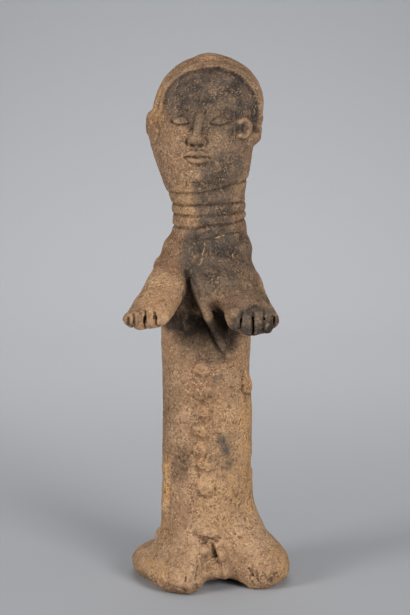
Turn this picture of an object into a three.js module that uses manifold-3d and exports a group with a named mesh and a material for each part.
// A funerary figure of fired clay, built by hand in one piece: a hollow column flaring into two
// broad feet, a ringed neck, a head thrown back, and two short arms held out like paddles.
// Millimetres, +Z up, the figure facing -Y.

import * as THREE from "three";
import { LoftGeometry } from "three/addons/geometries/LoftGeometry.js";
import { mergeVertices } from "three/addons/utils/BufferGeometryUtils.js";
import Module from "manifold-3d";

const wasm = await Module();
wasm.setup();

const { smoothstep, lerp, degToRad } = THREE.MathUtils;
const UP = new THREE.Vector3(0, 0, 1);
const BACK = new THREE.Vector3(0, 1, 0);
const SIDE = new THREE.Vector3(1, 0, 0);

// The column's axis in the part's frame, whose origin is under the middle of the whole figure.
const AXIS_X = -1.85;
const AXIS_Y = 10.3;

// The column, which is a thick tube closed at the top.
const COLUMN_HALF_WIDTH = 29.2;
const COLUMN_HALF_DEPTH = 26.4;
const WAIST_DEPTH = 1.3;
const CAVITY_RADIUS = 17.5;
const CAVITY_TOP = 196;

// The feet: each is an oval in plan with its toes turned in, and the column flares out over them.
const LEFT_FOOT = { x: -25.2, y: -6, halfWidth: 20, halfLength: 44.5, turn: degToRad(19) };
const RIGHT_FOOT = { x: 32.3, y: -1.5, halfWidth: 22, halfLength: 33.5, turn: degToRad(8) };
const HEEL = { x: 2, y: 4, halfWidth: 39, halfLength: 29.5, turn: 0 };
const INSTEP = { x: 8, y: -8, halfWidth: 23, halfLength: 27, turn: 0 };
const INSTEP_RISE = [2, 15];
const FOOT_THICKNESS = 11;
const FLARE_TOP = 52;
const FLARE_SKEW = 13;
const SOLE_ROUNDING = 9;
const SOLE_INSET = 7.5;
const FORK_X = 11;

// The neck, with its stacked rings, and the shoulders below it.
const SHOULDER_TOP = 225;
const NECK_HALF_WIDTH = 23.7;
const NECK_HALF_DEPTH = 22.2;
const NECK_X = 1.7;
const RING_PITCH = 7.25;
const RING_COUNT = 4;
const RING_DEPTH = 1.2;
const RING_TILT = 2.4;
const NECK_TOP = SHOULDER_TOP + RING_PITCH * RING_COUNT;

// The head: an egg set on the neck and leaning back.
const HEAD_BOTTOM = 251;
const HEAD_WIDEST = 303;
const HEAD_HALF_WIDTH = 35.4;
const HEAD_DEPTH_SHARE = 0.85;
const HEAD_LEAN = 0.19;
const HEAD_SWAY = 4.4;
const CROWN = 338.6;
const HEAD_TURN = degToRad(8);

// A face of plain proportions: the hairline, brow, base of the nose and chin are evenly spaced.
const HAIRLINE_Z = 327;
const CHIN_Z = 263;
const BROW_Z = lerp(HAIRLINE_Z, CHIN_Z, 1 / 3);
const NOSE_Z = lerp(HAIRLINE_Z, CHIN_Z, 2 / 3);
const EYE_Z = lerp(BROW_Z, NOSE_Z, 0.3);
const MOUTH_Z = lerp(NOSE_Z, CHIN_Z, 0.36);
const EYE_SPACING = 12.5;
const FACE_SLOPE = degToRad(24);

// The arms, from the shoulder to the fingertips, with half sizes across and over the arm.
const ARMS = {
  left: {
    path: [[-12.5, 4, 208], [-22, -16, 199.5], [-30, -36, 188.5], [-39.6, -57.5, 176]],
    across: [14.5, 13.5, 14.5, 15],
    over: [16.5, 13.5, 10, 7.2],
    slits: [-0.73, -0.42, 0.1, 0.52],
  },
  right: {
    path: [[11, 6, 205], [18.5, -16, 197], [24.5, -36, 186], [30.2, -56.5, 173.4]],
    across: [15.5, 16, 15.5, 17.8],
    over: [16.5, 14.5, 11, 8.6],
    slits: [-0.5, -0.08, 0.31, 0.65],
  },
};
const SLIT_WIDTH = 1.5;
const SLIT_DEPTH = 4;

// The row of raised scars down the belly, and the two lumps at the fork of the feet.
const SCAR_TOP = 141;
const SCAR_PITCH = 13;
const SCAR_COUNT = 7;
const SCAR_X = -3.4;

// Directions in which the toes are parted by slits, round the column's axis from +X.
const TOE_SLITS = [-112, -102, -93, -48, -42, -35].map(degToRad);
const TOE_HEIGHT = 9;

// Distance from the column's axis to an oval's far edge, going out at an angle, or 0 where it misses.
function reachOfOval(angle, { x, y, halfWidth, halfLength, turn }) {
  const inOval = (dx, dy) => [
    (dx * Math.cos(turn) + dy * Math.sin(turn)) / halfWidth,
    (dy * Math.cos(turn) - dx * Math.sin(turn)) / halfLength,
  ];
  const [u, v] = inOval(Math.cos(angle), Math.sin(angle));
  const [centreU, centreV] = inOval(x, y);
  const a = u * u + v * v;
  const b = u * centreU + v * centreV;
  const hit = b * b - a * (centreU * centreU + centreV * centreV - 1);
  return hit > 0 ? Math.max(0, (b + Math.sqrt(hit)) / a) : 0;
}

function smoothMax(values, sharpness) {
  const sum = values.reduce((total, v) => total + Math.exp(v / sharpness), 0);
  return sharpness * Math.log(sum);
}

const hump = (value, centre, width) => Math.exp(-(((value - centre) / width) ** 2));

// Half width of the egg-shaped head at a height, with a crown that is flatter the higher the power.
function headHalfWidth(z, power) {
  if (z >= HEAD_WIDEST) {
    const rise = (z - HEAD_WIDEST) / (CROWN - HEAD_WIDEST);
    return HEAD_HALF_WIDTH * (1 - rise ** power) ** (1 / power);
  }
  const fall = (HEAD_WIDEST - z) / (HEAD_WIDEST - HEAD_BOTTOM);
  return lerp(HEAD_HALF_WIDTH, NECK_HALF_WIDTH, fall ** 1.75);
}

// Centre and half sizes of the body's level section at a height.
function bodySection(z) {
  const neck = smoothstep(z, SHOULDER_TOP - 9, SHOULDER_TOP + 2);
  const head = smoothstep(z, HEAD_BOTTOM - 4, HEAD_BOTTOM + 12);
  let halfWidth = lerp(COLUMN_HALF_WIDTH - WAIST_DEPTH * hump(z, 142, 12), NECK_HALF_WIDTH, neck);
  let halfDepth = lerp(COLUMN_HALF_DEPTH, NECK_HALF_DEPTH, neck);
  if (z > HEAD_BOTTOM) {
    halfWidth = headHalfWidth(z, 2.1);
    halfDepth = lerp(NECK_HALF_DEPTH, headHalfWidth(z, 1.85) * HEAD_DEPTH_SHARE, head);
  }
  if (z > SHOULDER_TOP && z < NECK_TOP) {
    const ring = Math.abs(Math.sin((Math.PI * (z - SHOULDER_TOP)) / RING_PITCH)) - 0.6;
    halfWidth += RING_DEPTH * ring;
    halfDepth += RING_DEPTH * ring;
  }
  return {
    x: lerp(0.8 * hump(z, 95, 40) - 0.8 * hump(z, 142, 12) - 0.2, NECK_X, neck)
      + smoothstep(z, 280, 315) - HEAD_SWAY * hump(z, 282, 23),
    y: HEAD_LEAN * Math.max(0, z - HEAD_BOTTOM - 4) - 2 * hump(z, 268, 12),
    halfWidth,
    halfDepth,
  };
}

// Radius of the body in a direction, measured from the section's own centre.
function bodyRadius(angle, z, section) {
  const c = Math.cos(angle);
  const s = Math.sin(angle);
  let radius = 1 / Math.hypot(c / section.halfWidth, s / section.halfDepth);
  const flareTop = FLARE_TOP + FLARE_SKEW * c - 10 * Math.max(0, s);
  if (z < flareTop) {
    const feet = [LEFT_FOOT, RIGHT_FOOT, HEEL].map((oval) => reachOfOval(angle, oval));
    const joined = smoothMax([...feet, reachOfOval(angle, INSTEP)], 4);
    const reach = lerp(smoothMax(feet, 1.2), joined, smoothstep(z, ...INSTEP_RISE));
    const spread = (1 - smoothstep(z, FOOT_THICKNESS, flareTop)) ** (1.8 + 0.3 * Math.abs(c));
    radius = lerp(radius, reach, spread);
    const under = Math.max(0, 1 - z / SOLE_ROUNDING);
    radius -= SOLE_INSET * (1 - Math.sqrt(1 - under * under));
  }
  const hollowChest = hump(z, 172, 22) * hump(Math.atan2(c, -s), 0, 0.5);
  return radius - 4 * hollowChest;
}

function bodyPoint(angle, z) {
  const section = bodySection(z);
  const radius = bodyRadius(angle, z, section);
  const x = section.x + radius * Math.cos(angle);
  const tilt = RING_TILT * smoothstep(z, 216, 230) * (1 - smoothstep(z, 254, 276));
  return new THREE.Vector3(x, section.y + radius * Math.sin(angle), z + (tilt * x) / NECK_HALF_WIDTH);
}

// Heights of the rings of points that the body is lofted through, closer where the form is finer.
function ringHeights() {
  const zones = [
    [0, 6, 2], [6, 51, 5], [51, 138, 29], [138, 208, 14], [208, SHOULDER_TOP, 4.2],
    [SHOULDER_TOP, NECK_TOP, RING_PITCH / 3], [NECK_TOP, 322, 6.8], [322, 334, 4],
    [334, CROWN - 0.3, 1.4],
  ];
  const heights = [];
  for (const [from, to, step] of zones) {
    const count = Math.round((to - from) / step);
    for (let i = 0; i < count; i++) heights.push(lerp(from, to, i / count));
  }
  heights.push(CROWN - 0.3);
  return heights;
}

// Directions of the points round a ring, closer together in front.
function ringAngles(count) {
  const angles = [];
  for (let i = 0; i < count; i++) {
    const even = (i / count) * 2 * Math.PI;
    angles.push(even - 0.35 * Math.cos(even));
  }
  return angles;
}

function bodyGeometry() {
  const angles = ringAngles(39);
  const sections = ringHeights().map((z) => angles.map((angle) => bodyPoint(angle, z)));
  return new LoftGeometry(sections, { capStart: true, capEnd: true });
}

// The point where a straight line from inside the body leaves it.
function onBody(from, direction) {
  const inside = (p) => {
    const section = bodySection(p.z);
    const dx = p.x - section.x;
    const dy = p.y - section.y;
    return Math.hypot(dx, dy) < bodyRadius(Math.atan2(dy, dx), p.z, section);
  };
  let near = 0;
  let far = 90;
  for (let i = 0; i < 30; i++) {
    const middle = (near + far) / 2;
    if (inside(from.clone().addScaledVector(direction, middle))) near = middle;
    else far = middle;
  }
  return from.clone().addScaledVector(direction, near);
}

// A solid swept along a path, with an oval section of given half sizes across and over the path.
function sweep(path, { steps, sides, up, halfSizes }) {
  const curve = new THREE.CatmullRomCurve3(path);
  const sections = [];
  for (let i = 0; i <= steps; i++) {
    const t = i / steps;
    const centre = curve.getPoint(t);
    const along = curve.getTangent(t);
    const across = new THREE.Vector3().crossVectors(up, along).normalize();
    const over = new THREE.Vector3().crossVectors(along, across);
    const [halfAcross, halfOver] = halfSizes(t);
    const section = [];
    for (let j = 0; j < sides; j++) {
      const angle = (j / sides) * 2 * Math.PI;
      const point = centre.clone().addScaledVector(across, halfAcross * Math.cos(angle));
      section.push(point.addScaledVector(over, halfOver * Math.sin(angle)));
    }
    sections.push(section);
  }
  return new LoftGeometry(sections, { capStart: true, capEnd: true });
}

// A roll of clay of even thickness with rounded, tapering ends.
function coil(path, radius, { up = BACK, steps = 8, sides = 6, flat = 1 } = {}) {
  const taper = (t) => radius * Math.sqrt(Math.max(0.04, 1 - (2 * t - 1) ** 4));
  return sweep(path, { steps, sides, up, halfSizes: (t) => [taper(t), taper(t) * flat] });
}

// A three.js geometry, moved into place, as a solid that can be joined and cut.
function solid(geometry, matrix = new THREE.Matrix4()) {
  const plain = new THREE.BufferGeometry().copy(geometry).applyMatrix4(matrix);
  plain.deleteAttribute("normal");
  plain.deleteAttribute("uv");
  const merged = mergeVertices(plain, 1e-4);
  return new wasm.Manifold(new wasm.Mesh({
    numProp: 3,
    vertProperties: merged.attributes.position.array,
    triVerts: new Uint32Array(merged.index.array),
  }));
}

function placed(position, [turnX, turnY, turnZ], [sizeX, sizeY, sizeZ]) {
  const turn = new THREE.Quaternion().setFromEuler(new THREE.Euler(turnX, turnY, turnZ, "ZYX"));
  return new THREE.Matrix4().compose(position, turn, new THREE.Vector3(sizeX, sizeY, sizeZ));
}

// A pellet of clay: a ball pressed to three half sizes.
function pellet(position, halfSizes, turns = [0, 0, 0]) {
  return solid(new THREE.SphereGeometry(1, 8, 5), placed(position, turns, halfSizes));
}

function at(values, t) {
  const place = t * (values.length - 1);
  const i = Math.min(values.length - 2, Math.floor(place));
  return lerp(values[i], values[i + 1], smoothstep(place - i, 0, 1));
}

// An arm is a tapering roll whose last fifth rounds off into the end of the hand.
function arm({ path, across, over }) {
  const rounding = (t) => Math.sqrt(Math.max(0.12, 1 - Math.max(0, (t - 0.8) / 0.2) ** 4));
  return solid(sweep(path.map((p) => new THREE.Vector3(...p)), {
    steps: 11,
    sides: 13,
    up: UP,
    halfSizes: (t) => [at(across, t) * lerp(1, rounding(t), 0.8), at(over, t) * rounding(t)],
  }));
}

// Knife slits across the end of a hand, which part the fingers.
function fingerSlits({ path, across, over, slits }) {
  const [from, to] = path.slice(-2).map((p) => new THREE.Vector3(...p));
  const heading = to.clone().sub(from).normalize();
  const sideways = new THREE.Vector3().crossVectors(UP, heading).normalize();
  const yaw = Math.atan2(heading.x, -heading.y);
  const halfAcross = across[across.length - 1];
  const halfOver = over[over.length - 1];
  return slits.map((share) => {
    const back = SLIT_DEPTH * 0.5 + 7 * Math.abs(share) ** 3;
    const centre = to.clone().addScaledVector(heading, -back).addScaledVector(sideways, share * halfAcross);
    const size = [SLIT_WIDTH, SLIT_DEPTH * 2, halfOver * 1.35];
    return solid(new THREE.BoxGeometry(1, 1, 1), placed(centre, [degToRad(-18), 0, yaw], size));
  });
}

// The raised roll that crosses the chest from one armpit down to the other side.
function chestRoll() {
  const line = [[-11, 204, 4], [-7, 193, 9], [-1, 180, 8], [6, 166, 3.5], [11.5, 153, 0]];
  const path = line.map(([x, z, proud]) => {
    const seat = onBody(new THREE.Vector3(x, 0, z), BACK.clone().negate());
    return seat.addScaledVector(BACK, -proud);
  });
  return solid(coil(path, 2.8, { steps: 12, flat: 2.4 }));
}

// The chest between the roll and the right arm, which runs down off the neck into both of them.
function chest() {
  const path = [[3, -4, 214], [5.5, -19, 204], [8.5, -28, 192], [13, -27, 176]];
  const halfSizes = (t) => [at([13, 13, 10, 3], t), at([18, 17, 13, 5], t)];
  return solid(sweep(path.map((p) => new THREE.Vector3(...p)), { steps: 6, sides: 10, up: SIDE, halfSizes }));
}

// The thumb of the right hand lies over the inner end of the palm, and both hands have full outer corners.
function handLumps() {
  return [
    pellet(new THREE.Vector3(16.6, -51, 181), [5.5, 9, 6.5], [degToRad(-20), 0, degToRad(10)]),
    pellet(new THREE.Vector3(36.4, -52, 174.6), [5.8, 8, 4.8], [degToRad(-20), 0, degToRad(-16)]),
    pellet(new THREE.Vector3(-45.2, -52.5, 179.6), [5.8, 8, 4.8], [degToRad(-20), 0, degToRad(16)]),
  ];
}

function bellyScars() {
  const scars = [];
  for (let i = 0; i < SCAR_COUNT; i++) {
    const z = SCAR_TOP - i * SCAR_PITCH;
    const x = SCAR_X + 0.4 * i + 1.1 * Math.sin(i * 1.3);
    const seat = onBody(new THREE.Vector3(x, 0, z), BACK.clone().negate());
    const last = i === SCAR_COUNT - 1;
    scars.push(pellet(seat, last ? [5.6, 2.4, 4.6] : [4, 1.4, 3.6]));
  }
  return scars;
}

// The lip of clay over the fork of the feet, the two lumps under it, and the lumps on the right side,
// the left shoulder and the left flank above the foot.
function bodyLumps() {
  const seat = (x, z) => onBody(new THREE.Vector3(x, 0, z), BACK.clone().negate());
  const side = onBody(new THREE.Vector3(0, -8, 129), SIDE);
  return [
    pellet(seat(2.5, 37), [9, 3.2, 5], [degToRad(20), 0, 0]),
    pellet(seat(-1, 25), [4.4, 3.4, 4.6]),
    pellet(seat(10.5, 20.5).add(new THREE.Vector3(0, -1, 0)), [5, 4.5, 5]),
    pellet(side, [1.8, 5, 7]),
    pellet(new THREE.Vector3(-21, 0, 219.5), [7.6, 11, 7]),
    pellet(new THREE.Vector3(-27.4, -7, 205.5), [7.2, 9, 8.5]),
    pellet(new THREE.Vector3(-27, 0, 27.5), [7.2, 14, 8]),
  ];
}

// A point on the front of the head, across and up the face, before it is pushed out or in.
function onFace(across, z, proud = 0) {
  const section = bodySection(z);
  const forward = new THREE.Vector3(-Math.sin(HEAD_TURN), -Math.cos(HEAD_TURN), 0);
  const sideways = new THREE.Vector3(Math.cos(HEAD_TURN), -Math.sin(HEAD_TURN), 0);
  const from = new THREE.Vector3(section.x, section.y, z).addScaledVector(sideways, across);
  return onBody(from, forward).addScaledVector(forward, proud);
}

function faceCoil(points, radius, options) {
  return solid(coil(points.map(([across, z, proud = 0]) => onFace(across, z, proud)), radius, options));
}

function faceForms() {
  const turn = [-FACE_SLOPE, 0, -HEAD_TURN];
  const forms = [
    faceCoil([[0, BROW_Z - 1, 0], [0, EYE_Z, 2], [0, NOSE_Z + 3, 4.6]], 3, { steps: 6, up: SIDE }),
    pellet(onFace(0, NOSE_Z + 3.4, 2.4), [6, 4.6, 3.6], turn),
    pellet(onFace(0, CHIN_Z + 4, -4.4), [12, 6, 8], turn),
    faceCoil([[-8.5, MOUTH_Z + 1.2], [-3, MOUTH_Z + 2.4, 1], [3, MOUTH_Z + 2.4, 1], [8.5, MOUTH_Z + 1.2]], 1.9),
    faceCoil([[-7.5, MOUTH_Z - 1.2], [0, MOUTH_Z - 2.4, 1], [7.5, MOUTH_Z - 1.2]], 2.1),
  ];
  for (const side of [-1, 1]) {
    const brow = [[3.5, BROW_Z - 1.5], [10, BROW_Z + 2], [17, BROW_Z + 1.5], [22, BROW_Z - 3]];
    forms.push(faceCoil(brow.map(([across, z]) => [side * across, z, -0.3]), 1.9));
    forms.push(pellet(onFace(side * EYE_SPACING, EYE_Z, -0.6), [6.4, 2.6, 3.6], turn));
  }
  return forms;
}

function mouthLine() {
  const turn = [-FACE_SLOPE, 0, -HEAD_TURN];
  return solid(new THREE.BoxGeometry(1, 1, 1), placed(onFace(0, MOUTH_Z, 1), turn, [13.4, 5, 1]));
}

// An ear is a C of clay pressed into the side of the head, with a lobe under it.
function ear(side, height, sunk, lobeSunk) {
  const outwards = SIDE.clone().multiplyScalar(side);
  const middle = new THREE.Vector3(bodySection(height).x, bodySection(height).y - 3, height);
  const arc = [];
  for (const degrees of [-60, -20, 30, 80, 130, 180]) {
    const angle = degToRad(degrees);
    const from = middle.clone().add(new THREE.Vector3(0, 5 * Math.cos(angle), 7.5 * Math.sin(angle)));
    arc.push(onBody(from, outwards).addScaledVector(outwards, -sunk));
  }
  const lobe = onBody(middle.clone().add(new THREE.Vector3(0, -1, -7)), outwards);
  lobe.addScaledVector(outwards, -lobeSunk);
  return [solid(coil(arc, 3.2, { up: SIDE, steps: 9 })), pellet(lobe, [2.6, 3, 3])];
}

// The edge of the hair stands as a broad roll from ear to ear, and the crown rises to a low peak.
function hair() {
  const centre = bodySection(300);
  const rim = [];
  for (let i = 0; i <= 12; i++) {
    const angle = degToRad(lerp(-6, 186, i / 12));
    const from = new THREE.Vector3(centre.x, centre.y - 8, 300);
    rim.push(onBody(from, new THREE.Vector3(Math.cos(angle), 0, Math.sin(angle))));
  }
  const crown = new THREE.Vector3(centre.x + 2, centre.y + 4, CROWN - 3.2);
  return [solid(coil(rim, 2.2, { steps: 16, flat: 2 })), pellet(crown, [12, 12, 4.6])];
}

// The hollow, open under the feet, with the low arch between them that shows it from in front.
function hollow() {
  const profile = [[0, -2], [CAVITY_RADIUS + 3, -2], [CAVITY_RADIUS, 24], [CAVITY_RADIUS, CAVITY_TOP - 14],
    [CAVITY_RADIUS * 0.7, CAVITY_TOP - 4], [0, CAVITY_TOP]];
  const tube = new THREE.LatheGeometry(profile.map(([r, z]) => new THREE.Vector2(r, z)), 20);
  const upright = new THREE.Matrix4().makeRotationX(Math.PI / 2);
  const arch = placed(new THREE.Vector3(FORK_X, -17, 0), [0, 0, 0], [17, 34, 6.4]);
  const fork = placed(new THREE.Vector3(FORK_X, -33, 3), [degToRad(-16), 0, 0], [3.6, 13, 19]);
  const ball = () => new THREE.SphereGeometry(1, 12, 8);
  return [solid(tube, upright), solid(ball(), arch), solid(ball(), fork)];
}

function toeSlits() {
  return TOE_SLITS.map((angle) => {
    const turns = [degToRad(-30), 0, angle + Math.PI / 2];
    return solid(new THREE.BoxGeometry(1, 1, 1), placed(bodyPoint(angle, TOE_HEIGHT), turns, [1.2, 3, 9]));
  });
}

function figureGeometry() {
  const added = [
    arm(ARMS.left), arm(ARMS.right), ...handLumps(), chest(), chestRoll(), ...bellyScars(), ...bodyLumps(),
    ...faceForms(), ...ear(-1, 293.5, -0.4, 1.5), ...ear(1, 292, 1.4, -1.2), ...hair(),
  ];
  const removed = [
    ...hollow(), ...fingerSlits(ARMS.left), ...fingerSlits(ARMS.right), ...toeSlits(), mouthLine(),
  ];
  let clay = solid(bodyGeometry());
  for (const piece of added) clay = clay.add(piece);
  for (const piece of removed) clay = clay.subtract(piece);
  const { vertProperties, triVerts } = clay.getMesh();
  const geometry = new THREE.BufferGeometry();
  geometry.setAttribute("position", new THREE.BufferAttribute(vertProperties, 3));
  geometry.setIndex(new THREE.BufferAttribute(triVerts, 1));
  geometry.computeVertexNormals();
  return geometry;
}

const terracotta = new THREE.MeshStandardMaterial({ color: 0xa5835f, roughness: 0.92, metalness: 0 });
const figure = new THREE.Mesh(figureGeometry(), terracotta);
figure.name = "clay_figure";
figure.position.set(AXIS_X, AXIS_Y, 0);

const group = new THREE.Group();
group.add(figure);

export default group;
